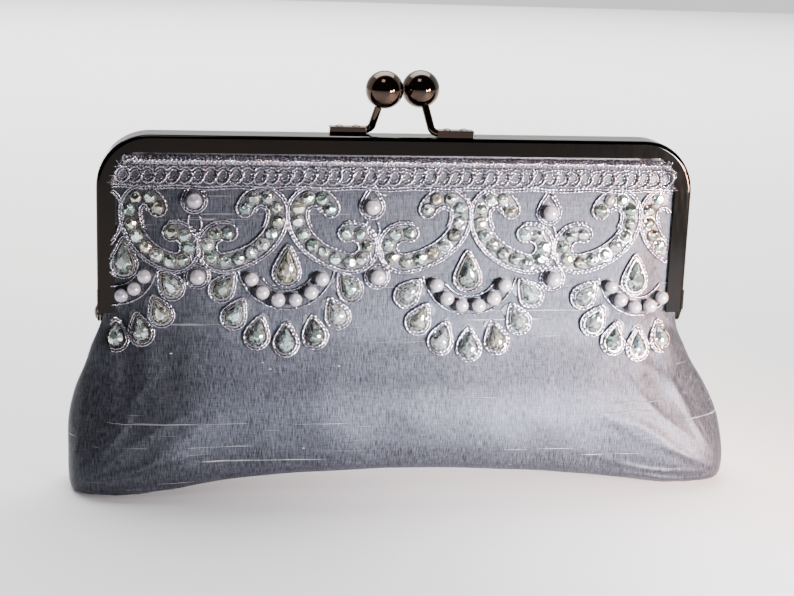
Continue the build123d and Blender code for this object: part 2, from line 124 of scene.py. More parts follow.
# the round ends of a scroll's middle line: across, height, radius
UPPER_CURL = (8.8, 96.2, 5.6)
LOWER_CURL = (21.4, 84.6, 5.2)
SCROLL_CORD_REACH = 2.95  # cords beside a scroll's middle line
SCROLL_RIM_REACH = 3.75
SCROLL_INNER_REACH = 3.8
STONE_RADIUS = 2.15
STONE_HEIGHT = 1.75
STONE_PITCH = 4.75
PEARL_RADIUS = 2.4
LONE_PEARL_RADIUS = 2.6
BRAID_Z = 113.4
BRAID_PITCH = 4.4
BRAID_CORD_Z = 111.4
RING_Z = 108.6
RING_PITCH = 4.15
HEADING_LOW_Z = 105.0
GROUND_Z = (45.0, 116.2)  # the embroidered ground lies between these heights
GROUND_STEP = 0.5
FRAYED_Z = (104.5, 113.5)
FRAYED_REACH = 101.3  # loose ends stop short of the frame's legs


# ---------------- small helpers
def smooth(low, high, value):
    """Smooth step from 0 at low to 1 at high."""
    t = np.clip((value - low) / (high - low), 0.0, 1.0)
    return t * t * (3 - 2 * t)


def spline(knots, count):
    """Catmull-Rom curve through the knots, as count points."""
    p = np.array(knots, float)
    p = np.vstack([2 * p[0] - p[1], p, 2 * p[-1] - p[-2]])
    s = np.linspace(0, len(knots) - 1 - 1e-9, count)
    i = s.astype(int)
    t = (s - i)[:, None]
    a, b, c, d = p[i], p[i + 1], p[i + 2], p[i + 3]
    return 0.5 * (2 * b + (c - a) * t + (2 * a - 5 * b + 4 * c - d) * t**2 + (3 * b - a - 3 * c + d) * t**3)


def resample(line, count_for):
    """Line as evenly spaced points, as many as count_for gives for its length, and that length."""
    along = np.concatenate([[0], np.cumsum(np.linalg.norm(np.diff(line, axis=0), axis=1))])
    s = np.linspace(0, along[-1], count_for(along[-1]))
    return np.stack([np.interp(s, along, values) for values in line.T], 1), along[-1]


def add_mesh(name, points, faces, material, shade_smooth=True):
    """New mesh object from points in millimetres."""
    mesh = bpy.data.meshes.new(name)
    mesh.from_pydata((np.asarray(points, float) * MM).tolist(), [], [tuple(map(int, f)) for f in faces])
    mesh.polygons.foreach_set("use_smooth", [shade_smooth] * len(mesh.polygons))
    mesh.materials.append(material)
    mesh.update()
    piece = bpy.data.objects.new(name, mesh)
    bpy.context.scene.collection.objects.link(piece)
    return piece


def grid_faces(rows, columns, flip=False, offset=0):
    """Quads of a rows by columns grid of points."""
    i, j = np.meshgrid(np.arange(rows - 1), np.arange(columns - 1), indexing="ij")
    a = (i * columns + j).ravel() + offset
    quads = np.stack([a, a + 1, a + columns + 1, a + columns], 1)
    return quads[:, ::-1] if flip else quads


def ring_faces(rows, columns):
    """Quads between neighbouring rings of points, each ring closed on itself."""
    faces = []
    for row in range(rows - 1):
        a, b = row * columns, (row + 1) * columns
        faces += [(a + k, a + (k + 1) % columns, b + (k + 1) % columns, b + k) for k in range(columns)]
    return faces


class Batch:
    """Collects many small shapes into one mesh."""

    def __init__(self):
        self.points, self.faces, self.count = [], [], 0

    def add(self, points, faces):
        self.points.append(np.asarray(points, float))
        self.faces.extend([tuple(int(k) + self.count for k in f) for f in faces])
        self.count += len(points)

    def build(self, name, material, shade_smooth=True):
        return add_mesh(name, np.vstack(self.points), self.faces, material, shade_smooth)


# ---------------- the bag's surface
def outline_half_width(z, inset):
    """Half width of the frame's outline, shrunk by inset, at this height."""
    top, radius = FRAME_TOP - inset, CORNER_RADIUS - inset
    rise = np.clip(z - (top - radius), 0, radius)
    return HALF_WIDTH - inset - radius + np.sqrt(np.maximum(radius**2 - rise**2, 0))


def panel_depth(x, z):
    """Depth of the silk between the frame's legs, where it swells out of the channel."""
    low_share = np.clip((FRAME_TOP - RAIL_HEIGHT - z) / (FRAME_TOP - RAIL_HEIGHT - HINGE_Z), 0, 1.2)
    side = np.maximum(0, HALF_WIDTH - RAIL_HEIGHT - np.abs(x))
    top = np.maximum(0, FRAME_TOP - RAIL_HEIGHT - z)
    swell = SWELL_AT_TOP + SWELL_GAIN * low_share
    for gap in (side, top):
        swell = swell * (1 - np.exp(-((gap / SWELL_RUN) ** 2)))
    return CHANNEL_DEPTH + swell


SECTION_CURVE = spline(SECTIONS, 400)


def end_shape(z):
    """Share of the half width over which the pouch's ends round off, and how square they are."""
    share = smooth(0, 34, z)
    return 0.24 + 0.18 * share, 3.4 - 1.4 * share


def section_at(z):
    """Half width and half depth of the pouch at a height above its base."""
    walls = SECTION_CURVE[SECTION_CURVE[:, 0] > 0.5][::-1]
    return np.interp(z, walls[:, 0], walls[:, 1]), np.interp(z, walls[:, 0], walls[:, 2])


def front_depth(x, z):
    """Depth of the silk's outer face at a point of the bag's front."""
    half, depth = section_at(z)
    width_share, power = end_shape(z)
    end = width_share * half
    over = np.clip((np.abs(x) - (half - end)) / end, 0, 1)
    rounded = depth * np.maximum(0, 1 - over**power) ** (1 / power)
    share = smooth(POUCH_Z, PANEL_Z, z)
    return share * panel_depth(x, z) + (1 - share) * rounded


def creases(x, z, side):
    """Small folds of the slack cloth: fans out of the lower corners and falls from the leg ends."""
    total = np.zeros_like(x)
    for end in (-1, 1):
        dx, dz = (x - end * 116) * -end, z - 4
        reach = np.hypot(dx, dz)
        angle = np.arctan2(dz, dx)
        wander = 0.35 * np.sin(reach * 0.11 + end)
        ripple = np.exp(-((np.sin(angle * 6 + wander + 1.3 * end + 0.8 * side) / 0.30) ** 2))
        ripple += 0.7 * np.exp(-((np.sin(angle * 9.5 - wander + 2.2 * end) / 0.24) ** 2)) - 0.4
        total += 0.85 * ripple * np.exp(-(((reach - 28) / 18) ** 2))
        fall = np.sin((x - end * 92) * 0.42 + side) * np.exp(-(((x - end * 96) / 13) ** 2))
        total += 0.9 * fall * np.exp(-(((z - 46) / 14) ** 2))
    low = np.exp(-((z - 6) / 16) ** 2)
    total += 0.3 * np.sin(x * 0.11 + 1.7 * side) * low + 0.22 * np.sin(x * 0.23 + 0.9) * low
    return total


def ripple_noise(points, side):
    """Broad soft unevenness of hand-made cloth."""
    found = [
        0.45 * noise.noise(Vector((x * 0.028, side * 3.1, z * 0.036)))
        + 0.16 * noise.noise(Vector((x * 0.09, side * 5.7, z * 0.11)))
        for x, _, z in points
    ]
    return np.array(found)


def panel_surface(side, inset, columns, rows, top):
    """Grid of points over one panel of the bag, from the channel to the seam under the base."""
    upper_rows = int(rows * UPPER_ROW_SHARE)
    upper = np.linspace(top, SECTIONS[0][0], upper_rows, endpoint=False)
    lower = spline(SECTIONS, rows - upper_rows)
    heights = np.concatenate([upper, lower[:, 0]])
    halves = np.concatenate([np.full(upper_rows, SECTIONS[0][1]), lower[:, 1]])
    depths = np.concatenate([np.full(upper_rows, SECTIONS[0][2]), lower[:, 2]])
    t = np.linspace(-1, 1, columns)
    points = []
    for z, half, depth in zip(heights, halves, depths):
        share = smooth(POUCH_Z, PANEL_Z, z)
        half_in, depth_in = half - inset, max(depth - inset, 0.0)
        width_share, power = end_shape(z)
        end = width_share * half_in
        straight = half_in - end
        walked = np.abs(t) * (straight + 0.5 * pi * end * END_SQUEEZE)
        angle = np.clip((walked - straight) / (end * END_SQUEEZE), 0, pi / 2)
        x_low = np.sign(t) * (np.minimum(walked, straight) + end * np.sin(angle) ** (2 / power))
        y_low = depth_in * np.cos(angle) ** (2 / power)
        x_high = t * outline_half_width(z, CHANNEL_INSET)
        y_high = panel_depth(x_high, z) - inset
        x = share * x_high + (1 - share) * x_low
        y = share * y_high + (1 - share) * y_low
        slack = (1 - smooth(*CREASED_BELOW, z)) * np.clip(depth_in / LOOSE_DEPTH, 0, 1)
        y = y + creases(x, np.full_like(x, z), side) * (slack * np.cos(angle * (1 - share)) ** 0.5)
        arch = ARCH_HEIGHT * np.maximum(0, 1 - (x / ARCH_HALF_SPAN) ** 2)
        lift = (arch + inset) * (1 - smooth(0, ARCH_TOP_Z, z))
        lean = POUCH_LEAN * (1 - smooth(8, HINGE_Z - 4, z))
        swing = -BASE_SWING * smooth(50, 116, -x) * (1 - smooth(4, 44, z))
        points.append(np.stack([x + lean, side * y + swing, np.full_like(x, z) + lift], 1))
    points = np.vstack(points)
    fade = 1 - smooth(*UNEVEN_BELOW, points[:, 2])
    calm = fade * np.clip(np.abs(points[:, 1]) / LOOSE_DEPTH, 0, 1)
    points[:, 1] += side * ripple_noise(points, side) * calm
    return points


def cloth_panel(name, node_stem, side, inset, thick, material, columns, rows):
    """One layer of the bag on one side: continuous from the channel to the seam, changing from the flat panel
    to the rounded pouch near the hinge.
    """
    points = panel_surface(side, inset, columns, rows, FRAME_TOP - CHANNEL_INSET - TOP_GAP)
    piece = add_mesh(name, points, grid_faces(rows, columns, flip=side < 0), material)
    shell = piece.modifiers.new("thickness", "SOLIDIFY")
    shell.thickness, shell.offset = thick * MM, -1
    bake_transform(piece)
    word = "front" if side < 0 else "rear"
    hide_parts(f"{node_stem}_{word}_lower", f"{node_stem}_{word}_upper")
    if node_stem == "outer":
        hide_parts(f"outer_{word}_fold")


# ---------------- materials
def new_material(name):
    """New material, with its nodes, its links and its Principled shader."""
    material = bpy.data.materials.new(name)
    material.use_nodes = True
    tree = material.node_tree
    return material, tree.nodes, tree.links, tree.nodes["Principled BSDF"]


def set_inputs(shader, values):
    """Sets plain values on the shader's own sockets."""
    for name, value in values.items():
        shader.inputs[name].default_value = value


def stretched_noise(nodes, links, scale, detail=3.0, roughness=0.55):
    """Noise in object space; scale is its frequency per metre along each axis."""
    coordinates = nodes.new("ShaderNodeTexCoord")
    mapping = nodes.new("ShaderNodeMapping")
    mapping.inputs["Scale"].default_value = scale
    texture = nodes.new("ShaderNodeTexNoise")
    texture.inputs["Scale"].default_value = 1.0
    texture.inputs["Detail"].default_value = detail
    texture.inputs["Roughness"].default_value = roughness
    links.new(coordinates.outputs["Object"], mapping.inputs["Vector"])
    links.new(mapping.outputs["Vector"], texture.inputs["Vector"])
    return texture.outputs["Fac"]


def ramp(nodes, links, source, stops):
    """Colour ramp: stops are (position, grey or colour)."""
    node = nodes.new("ShaderNodeValToRGB")
    elements = node.color_ramp.elements
    while len(elements) > len(stops):
        elements.remove(elements[-1])
    while len(elements) < len(stops):
        elements.new(1.0)
    for element, (position, colour) in zip(elements, stops):
        element.position = position
        element.color = (*colour, 1) if hasattr(colour, "__len__") else (colour, colour, colour, 1)
    links.new(source, node.inputs["Fac"])
    return node.outputs["Color"]


def mix(nodes, links, kind, factor, a, b):
    """Mix of two colours; a factor, or colour, is a socket or a plain value."""
    node = nodes.new("ShaderNodeMix")
    node.data_type = "RGBA"
    node.blend_type = kind
    for socket, value in ((node.inputs[0], factor), (node.inputs[6], a), (node.inputs[7], b)):
        if hasattr(value, "links"):
            links.new(value, socket)
        else:
            socket.default_value = value
    return node.outputs[2]


def bump(nodes, links, height, strength, distance, chain=None):
    """Bump from a height socket, on top of an earlier bump."""
    node = nodes.new("ShaderNodeBump")
    node.inputs["Strength"].default_value = strength
    node.inputs["Distance"].default_value = distance
    links.new(height, node.inputs["Height"])
    if chain is not None:
        links.new(chain, node.inputs["Normal"])
    return node.outputs["Normal"]


WARP_GRAIN = (3900, 600, 420)  # noise frequencies per metre
WEFT_GRAIN = (300, 600, 3300)
SLUB_GRAIN = (20, 60, 760)
NUB_GRAIN = (260, 400, 760)
CLOUD_GRAIN = (9, 9, 14)
SILK_DARK, SILK_LIGHT = (0.0085, 0.0092, 0.0116), (0.061, 0.0645, 0.080)
PALE_SLUB = (0.50, 0.50, 0.51, 1)
DARK_SLUB = (0.10, 0.10, 0.12, 1)
PALE_NUB = (0.70, 0.70, 0.70, 1)


def silk_material():
    """Slubbed silk: fine upright warp, thick uneven weft, pale and dark slubs, and nubs."""
    material, nodes, links, shader = new_material("slubbed_silk")
    warp = stretched_noise(nodes, links, WARP_GRAIN, 2.0)
    weft = stretched_noise(nodes, links, WEFT_GRAIN, 2.0)
    slub = stretched_noise(nodes, links, SLUB_GRAIN, 3.0, 0.5)
    nub = stretched_noise(nodes, links, NUB_GRAIN, 1.0)
    cloud = stretched_noise(nodes, links, CLOUD_GRAIN, 3.0)
    colour = ramp(nodes, links, warp, [(0.30, SILK_DARK), (0.70, SILK_LIGHT)])
    colour = mix(nodes, links, "OVERLAY", 0.7, colour, ramp(nodes, links, weft, [(0.3, 0.30), (0.7, 0.70)]))
    slubs = ramp(nodes, links, slub, [(0.68, 0.0), (0.73, 0.7), (0.80, 1.0)])
    share = mix(nodes, links, "MULTIPLY", 1.0, slubs, (0.5, 0.5, 0.5, 1))
    colour = mix(nodes, links, "MIX", share, colour, PALE_SLUB)
    dark = ramp(nodes, links, slub, [(0.24, 1.0), (0.30, 0.0)])
    share = mix(nodes, links, "MULTIPLY", 1.0, dark, (0.45, 0.45, 0.45, 1))
    colour = mix(nodes, links, "MIX", share, colour, DARK_SLUB)
    nubs = ramp(nodes, links, nub, [(0.79, 0.0), (0.83, 1.0)])
    colour = mix(nodes, links, "MIX", nubs, colour, PALE_NUB)
    colour = mix(nodes, links, "OVERLAY", 0.35, colour, ramp(nodes, links, cloud, [(0.3, 0.34), (0.7, 0.66)]))
    links.new(colour, shader.inputs["Base Color"])
    links.new(ramp(nodes, links, warp, [(0.3, 0.42), (0.7, 0.56)]), shader.inputs["Roughness"])
    set_inputs(shader, {
        "Metallic": 0.6,
        "Specular IOR Level": 0.3,
        "Sheen Weight": 0.03,
        "Sheen Roughness": 0.4,
        "Sheen Tint": (0.86, 0.88, 1.0, 1),
    })
    normal = bump(nodes, links, warp, 0.5, 0.00015)
    normal = bump(nodes, links, weft, 0.2, 0.0001, normal)
    normal = bump(nodes, links, slubs, 0.8, 0.0003, normal)
    links.new(normal, shader.inputs["Normal"])
    return material


def plain_cloth(name, low, high, scale, roughness, sheen):
    """Matt or satin cloth for the hidden layers, with a woven or needled grain."""
    material, nodes, links, shader = new_material(name)
    grain = stretched_noise(nodes, links, scale, 3.0)
    links.new(ramp(nodes, links, grain, [(0.3, low), (0.7, high)]), shader.inputs["Base Color"])
    set_inputs(shader, {"Roughness": roughness, "Sheen Weight": sheen})
    links.new(bump(nodes, links, grain, 0.4, 0.0002), shader.inputs["Normal"])
    return material


def metal_material(name, colour, roughness):
    """Dark polished plate with faint handling marks and a slightly uneven film."""
    material, nodes, links, shader = new_material(name)
    marks = stretched_noise(nodes, links, (900, 140, 140), 4.0, 0.7)
    film = stretched_noise(nodes, links, (26, 26, 26), 3.0)
    warm = tuple(c * f for c, f in zip(colour, (1.25, 1.08, 0.92)))
    links.new(ramp(nodes, links, film, [(0.35, colour), (0.7, warm)]), shader.inputs["Base Color"])
    shader.inputs["Metallic"].default_value = 1.0
    worn = ramp(nodes, links, marks, [(0.35, roughness), (0.75, roughness * 2.1)])
    links.new(worn, shader.inputs["Roughness"])
    links.new(bump(nodes, links, film, 0.08, 0.0004), shader.inputs["Normal"])
    return material


def finish_crystal(nodes, links, shader, painted_reflection_tone, tints, metallic, roughness):
    """Each stone's own tint times a painted tone per facet or cell, which stands in for reflections in the
    stone, under a clear coat.
    """
    geometry = nodes.new("ShaderNodeNewGeometry")
    stone = ramp(nodes, links, geometry.outputs["Random Per Island"], tints)
    links.new(mix(nodes, links, "MULTIPLY", 1.0, stone, painted_reflection_tone), shader.inputs["Base Color"])
    set_inputs(shader, {"Metallic": metallic, "Roughness": roughness})
    set_inputs(shader, {"Coat Weight": 1.0, "Coat Roughness": 0.02})


def crystal_material(name, tints):
    """Foil-backed glass: each facet gets a random tone by the way it faces, painted reflection standing in
    for the light the foil throws back.
    """
    material, nodes, links, shader = new_material(name)
    geometry = nodes.new("ShaderNodeNewGeometry")
    facet = nodes.new("ShaderNodeTexWhiteNoise")
    facet.noise_dimensions = "3D"
    scaled = nodes.new("ShaderNodeVectorMath")
    scaled.operation = "MULTIPLY"
    scaled.inputs[1].default_value = (23.0, 23.0, 23.0)
    snapped = nodes.new("ShaderNodeVectorMath")
    snapped.operation = "FLOOR"
    links.new(geometry.outputs["True Normal"], scaled.inputs[0])
    links.new(scaled.outputs[0], snapped.inputs[0])
    links.new(snapped.outputs[0], facet.inputs["Vector"])
    # painted reflections: dark and bright facets, some brighter than white
    tone = ramp(nodes, links, facet.outputs["Value"], [(0.0, 0.08), (0.35, 0.5), (0.6, 1.0), (1.0, 1.3)])
    finish_crystal(nodes, links, shader, tone, tints, 0.8, 0.06)
    return material


def domed_crystal_material(name, tints):
    """Clear dome over a faceted foil: the foil's broken tones, painted reflections of its facets, lie under a
    smooth clear coat.
    """
    material, nodes, links, shader = new_material(name)
    coordinates = nodes.new("ShaderNodeTexCoord")
    cells = nodes.new("ShaderNodeTexVoronoi")
    cells.inputs["Scale"].default_value = 620
    links.new(coordinates.outputs["Object"], cells.inputs["Vector"])
    # painted reflections: each cell of the foil gets a dark or bright tone, some brighter than white
    tone = ramp(nodes, links, cells.outputs["Color"], [(0.15, 0.14), (0.42, 0.7), (0.7, 1.3)])
    finish_crystal(nodes, links, shader, tone, tints, 0.9, 0.16)
    links.new(bump(nodes, links, cells.outputs["Distance"], 0.7, 0.0008), shader.inputs["Normal"])
    return material


PEARL_TINTS = [(0.0, (0.40, 0.365, 0.41)), (0.5, (0.50, 0.47, 0.49)), (1.0, (0.38, 0.365, 0.43))]


def pearl_material():
    """Imitation pearl: off-white body under a soft clear coat."""
    material, nodes, links, shader = new_material("pearl")
    geometry = nodes.new("ShaderNodeNewGeometry")
    body = ramp(nodes, links, geometry.outputs["Random Per Island"], PEARL_TINTS)
    patches = stretched_noise(nodes, links, (420, 420, 420), 2.0)
    film = ramp(nodes, links, patches, [(0.3, 0.42), (0.7, 0.58)])
    links.new(mix(nodes, links, "OVERLAY", 0.4, body, film), shader.inputs["Base Color"])
    set_inputs(shader, {"Roughness": 0.2, "Metallic": 0.35, "Coat Weight": 1.0, "Coat Roughness": 0.06})
    return material


def thread_material(name, dark, light, metallic, roughness):
    """Silver thread: its colour runs from the metal's tone to near black in small random patches; the dark
    ones are painted shade standing in for the crevices between the twists.
    """
    material, nodes, links, shader = new_material(name)
    wrap = stretched_noise(nodes, links, (2100, 2100, 2100), 2.0, 0.6)
    patch = stretched_noise(nodes, links, (160, 160, 160), 2.0)
    # the dark end is painted shade, as if these patches lay in the crevices of the twist
    colour = ramp(nodes, links, wrap, [(0.34, dark), (0.62, light)])
    colour = mix(nodes, links, "OVERLAY", 0.4, colour, ramp(nodes, links, patch, [(0.3, 0.3), (0.7, 0.7)]))
    links.new(colour, shader.inputs["Base Color"])
    set_inputs(shader, {"Metallic": metallic, "Roughness": roughness})
    links.new(bump(nodes, links, wrap, 0.6, 0.00015), shader.inputs["Normal"])
    return material


SILK = silk_material()
LINING = plain_cloth("satin_lining", (0.22, 0.225, 0.25), (0.33, 0.335, 0.36), (1800, 1800, 120), 0.34, 0.5)
FLEECE = plain_cloth("fleece", (0.62, 0.62, 0.60), (0.80, 0.80, 0.78), (500, 500, 500), 0.95, 0.2)
PAPER = plain_cloth("paper_cord", (0.40, 0.33, 0.23), (0.62, 0.54, 0.40), (900, 900, 300), 0.85, 0.0)
FRAME_METAL = metal_material("black_nickel", (0.020, 0.018, 0.017), 0.06)
CLASP_METAL = metal_material("polished_black_nickel", (0.060, 0.046, 0.040), 0.035)
STONE_TINTS = [
    (0.0, (0.70, 0.90, 0.92)),
    (0.22, (0.34, 0.46, 0.40)),
    (0.42, (0.88, 0.97, 0.98)),
    (0.62, (0.26, 0.33, 0.30)),
    (0.8, (0.74, 0.70, 0.56)),
    (1.0, (0.50, 0.70, 0.74)),
]
CRYSTAL = crystal_material("crystal", STONE_TINTS)
DOME_CRYSTAL = domed_crystal_material("domed_crystal", STONE_TINTS)
PEARL = pearl_material()
# each thread's first colour is the near-black painted shade of its crevices
SILVER = thread_material("silver_cord", (0.02, 0.02, 0.026), (0.46, 0.44, 0.51), 0.92, 0.2)
NET = thread_material("silver_embroidery", (0.015, 0.015, 0.018), (0.11, 0.11, 0.125), 0.6, 0.4)
SETTING = metal_material("bright_setting", (0.24, 0.235, 0.23), 0.16)


# ---------------- the cloth
def build_cloth():
    """Silk outside, fleece behind it and the lining inside, front and rear."""
    for side, word in ((-1, "front"), (1, "rear")):
        cloth_panel(f"silk_{word}", "outer", side, 0.0, SILK_THICK, SILK, 300, 200)
        cloth_panel(f"fleece_{word}_sheet", "fleece", side, 0.85, 0.9, FLEECE, 120, 90)
        cloth_panel(f"lining_{word}_sheet", "lining", side, 2.1, 0.35, LINING, 160, 110)


# ---------------- the trim
def on_front(x, z, lift):
    """Points on the bag's front, standing lift proud of the silk or of the frame's face."""
    x, z = np.asarray(x, float), np.asarray(z, float)
    leg = outline_half_width(z, RAIL_HEIGHT)
    on_frame = smooth(1.6, -0.6, leg - np.abs(x)) * smooth(HINGE_Z - 5, HINGE_Z - 1, z)
    depth = front_depth(x, z)
    depth = depth + np.maximum(FACE_Y + 0.1 - depth, 0) * on_frame
    return np.stack([x, -(depth + lift), z], -1)


def front_normal(x, z):
    """Outward direction of the silk at a point of the front."""
    step = 0.8
    a, b = on_front(x - step, z, 0), on_front(x + step, z, 0)
    c, d = on_front(x, z - step, 0), on_front(x, z + step, 0)
    normal = np.cross(b - a, d - c)
    return normal / np.linalg.norm(normal)


STEPS_PER_TURN = 5
LOBE_DEPTH = 0.24


def cord(batch, path, radius, pitch=1.5, closed=False, lobes=2, around=8):
    """Twisted cord along a path of points: a lobed section that turns as it goes."""
    path = np.asarray(path, float)
    if closed:
        path = np.vstack([path, path[:1]])
    line, length = resample(path, lambda length: max(4, int(length / (pitch / STEPS_PER_TURN))))
    if closed:
        line = line[:-1]
        tangent = np.roll(line, -1, 0) - np.roll(line, 1, 0)
    else:
        tangent = np.gradient(line, axis=0)
    tangent /= np.linalg.norm(tangent, axis=1)[:, None] + 1e-9
    outward = np.tile(np.array([0.0, -1.0, 0.0]), (len(line), 1))
    across = np.cross(tangent, outward)
    across /= np.linalg.norm(across, axis=1)[:, None] + 1e-9
    outward = np.cross(across, tangent)
    turns = tau * (round(length / pitch) if closed else length / pitch)
    twist = np.linspace(0, turns, len(line), endpoint=not closed)
    angle = np.linspace(0, tau, around, endpoint=False)
    shape = radius * (1 + LOBE_DEPTH * np.cos(lobes * (angle[None, :] - twist[:, None] / lobes)))
    rings = (
        line[:, None, :]
        + (shape * np.cos(angle))[:, :, None] * across[:, None, :]
        + (shape * np.sin(angle))[:, :, None] * outward[:, None, :]
    )
    rows = len(line)
    i, j = np.meshgrid(np.arange(rows if closed else rows - 1), np.arange(around), indexing="ij")
    here, after, beside = i * around, (i + 1) % rows * around, (j + 1) % around
    faces = np.stack([here + j, after + j, after + beside, here + beside], -1).reshape(-1, 4)
    batch.add(rings.reshape(-1, 3), faces)
    if not closed:
        first = batch.count - rows * around
        for row, order in ((0, 1), (rows - 1, -1)):
            ring = range(first + row * around, first + (row + 1) * around)
            batch.faces.append(tuple(ring)[::order])


def runs_inside(outline, closed):
    """Splits an outline where the strip is cut off at its two ends."""
    kept = (outline[:, 0] > TRIM_LEFT) & (outline[:, 0] < TRIM_RIGHT)
    if kept.all():
        return [(outline, closed)]
    if closed and kept.any():
        start = int(np.argmin(kept))
        outline, kept = np.roll(outline, -start, 0), np.roll(kept, -start)
    found, run = [], []
    for point, keep in zip(outline, kept):
        if keep:
            run.append(point)
        elif run:
            found.append(run)
            run = []
    found += [run] if run else []
    return [(np.array(r), False) for r in found if len(r) > 4]


def lay(batch, outline, radius, lift=0.0, closed=True):
    """Lays a cord on the bag's front along an outline given across and up, cut to the strip."""
    for piece, whole in runs_inside(outline, closed):
        path = on_front(piece[:, 0], piece[:, 1], radius * 0.8 + lift)
        cord(batch, path, radius, closed=whole)


def scroll_line():
    """Middle line of the right-hand scroll of a repeat, from the upper curl to the lower one."""
    (ux, uz, ur), (lx, lz, lr) = UPPER_CURL, LOWER_CURL
    upper_angle = np.radians(np.arange(15, 181, 5))
    lower_angle = np.radians(np.arange(-100, 111, 5))
    upper = np.stack([ux + ur * np.cos(upper_angle), uz + ur * np.sin(upper_angle)], 1)
    lower = np.stack([lx + lr * np.cos(lower_angle), lz + lr * np.sin(lower_angle)], 1)
    start, finish = upper[-1], lower[0]
    pull_a, pull_b = start + (0, -8.8), finish + (-8.9, 1.6)
    t = np.linspace(0, 1, 26)[1:-1, None]
    body = (1 - t) ** 3 * start + 3 * t * (1 - t) ** 2 * pull_a + 3 * t**2 * (1 - t) * pull_b + t**3 * finish
    return np.vstack([upper, body, lower])


def fitted_reach(centre, side):
    """Distance from a repeat's centre to the single pearls on this side, or half a repeat at the ends."""
    beyond = [side * (x - centre) for x, _ in LOWER_PEARLS if side * (x - centre) > 0]
    return min(beyond) if beyond else HALF_REPEAT


def placed_scroll(centre, side):
    """A scroll's middle line, mirrored and fitted beside its repeat's centre."""
    line = scroll_line()
    return np.stack([centre + side * line[:, 0] * fitted_reach(centre, side) / HALF_REPEAT, line[:, 1]], 1)


def offset_line(line, distance):
    """Line moved sideways, to its left as it runs."""
    tangent = np.gradient(line, axis=0)
    tangent /= np.linalg.norm(tangent, axis=1)[:, None]
    return line + distance * np.stack([-tangent[:, 1], tangent[:, 0]], 1)


def spaced(line, pitch):
    """Points along a line at even steps of about pitch."""
    return resample(line, lambda length: round(length / pitch) + 1)[0]


def inside(x, reach):
    """Whether something reaching this far either way lies within the cut strip."""
    return TRIM_LEFT <= x - reach and x + reach <= TRIM_RIGHT


def facing(x, z, lift, lean=0.0):
    """Placement whose local z stands out of the silk and whose local y points up, turned by lean degrees."""
    out = Vector(front_normal(x, z)).normalized()
    up = (Vector((0, 0, 1)) - out * out.z).normalized()
    right = up.cross(out)
    turn = radians(lean)
    right, up = right * cos(turn) + up * sin(turn), up * cos(turn) - right * sin(turn)
    matrix = Matrix((right, up, out)).transposed().to_4x4()
    matrix.translation = Vector(on_front(x, z, lift))
    return np.array(matrix)


def place(points, matrix):
    """Points moved by a 4 by 4 matrix."""
    return np.asarray(points, float) @ matrix[:3, :3].T + matrix[:3, 3]


def faceted(outline, height, table, girdle=0.25):
    """Cut stone over an outline of points: a girdle, rows of facets and a small top."""
    outline = np.asarray(outline, float)
    middle = outline.mean(0)
    count = len(outline)
    half = 0.5 * (outline + np.roll(outline, -1, 0))
    levels = [
        (outline, 0.0),
        (outline, girdle),
        (middle + 0.84 * (half - middle), girdle + 0.42 * (height - girdle)),
        (middle + table * (outline - middle), height),
        (middle + 0.3 * (half - middle), height * 1.07),
    ]
    points = np.vstack([np.column_stack([ring, np.full(count, level)]) for ring, level in levels])
    faces = []
    for k in range(count):
        n = (k + 1) % count
        faces.append((k, n, count + n, count + k))
        faces.append((count + k, count + n, 2 * count + k))
        faces.append((count + n, 2 * count + n, 2 * count + k))
        faces.append((2 * count + k, 2 * count + n, 3 * count + n))
        faces.append((2 * count + k, 3 * count + n, 3 * count + k))
        faces.append((3 * count + k, 3 * count + n, 4 * count + k))
        faces.append((3 * count + n, 4 * count + n, 4 * count + k))
    faces.append(tuple(range(4 * count, 5 * count)))
    faces.append(tuple(range(count))[::-1])
    return points, faces


def domed(radius, height, rows=5, columns=14, girdle=0.35):
    """Round stone: a short girdle under a low dome."""
    angle = np.linspace(0, tau, columns, endpoint=False)
    rise = np.linspace(0, pi / 2, rows + 1)[:-1]
    levels = [(radius, 0.0)]
    levels += [(radius * cos(a) ** 0.85, girdle + (height - girdle) * sin(a)) for a in rise]
    points = [np.stack([r * np.cos(angle), r * np.sin(angle), np.full(columns, z)], 1) for r, z in levels]
    points = np.vstack(points + [[(0, 0, height)]])
    faces = ring_faces(len(levels), columns)
    last = (len(levels) - 1) * columns
    faces += [(last + k, last + (k + 1) % columns, last + columns) for k in range(columns)]
    faces.append(tuple(range(columns))[::-1])
    return points, faces


def circle_outline(radius, count):
    """Circle about the origin."""
    angle = np.linspace(0, tau, count, endpoint=False)
    return np.stack([radius * np.cos(angle), radius * np.sin(angle)], 1)


def drop_outline(width, length, count=14):
    """Pear shape with its point up; its round end is centred on the origin."""
    angle = np.linspace(0, tau, count, endpoint=False) + pi / 2
    x, y = np.cos(angle) * width / 2, np.sin(angle) * width / 2
    lift = np.clip(np.sin(angle), 0, 1) ** 2.2
    x = x * (1 - 0.42 * lift)
    return np.stack([x, y + lift * (length - width)], 1)


CLAW_HALF_WIDTH = 0.32
# a claw's corners: how far in over the stone, across, whether on the wall's top, and how far above that
CLAW_POINTS = (
    (0, -1, 0, 0.2), (0, 1, 0, 0.2), (0, 1, 1, 0.42), (0, -1, 1, 0.42), (0.75, -0.6, 1, 0.62),
    (0.75, 0.6, 1, 0.62), (-0.25, -1, 0, 0.2), (-0.25, 1, 0, 0.2), (-0.2, 1, 1, 0.5), (-0.2, -1, 1, 0.5),
)
CLAW_FACES = (
    (0, 1, 2, 3), (3, 2, 5, 4), (7, 6, 9, 8), (8, 9, 4, 5), (1, 7, 8, 2), (6, 0, 3, 9), (2, 8, 5), (9, 3, 4),
    (0, 6, 7, 1),
)


